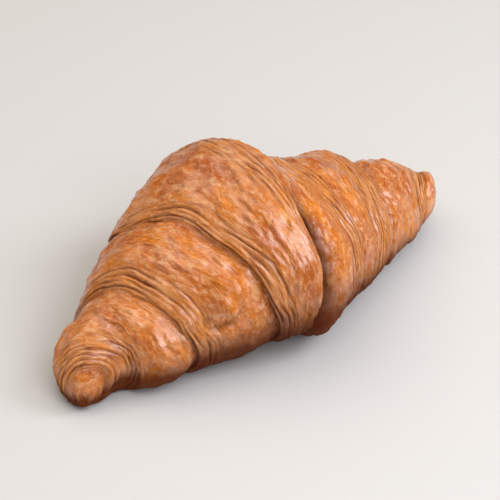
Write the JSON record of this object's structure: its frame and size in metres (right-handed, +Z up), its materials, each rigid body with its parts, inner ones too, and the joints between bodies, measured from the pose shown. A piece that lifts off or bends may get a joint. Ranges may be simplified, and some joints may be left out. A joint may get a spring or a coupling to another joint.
{
  "type": "croissant",
  "caption": "Straight butter croissant, a spindle of rolled laminated dough with stepped turns, golden brown, lying flat.",
  "frame": {"origin": "middle of the bounding box in plan, on the flat that the baking tray left", "axes": "+X along the roll from the curled tip to the blunt tip, +Z up from the tray, +Y towards the side from which the dough was rolled"},
  "size_m": [0.152, 0.082, 0.057],
  "materials": {
    "baked_crust": "egg-washed baked pastry crust, satin to glossy, roughness about 0.3 to 0.55"
  },
  "bodies": {
    "root": {"croissant": "baked_crust"}
  },
  "joints": []
}
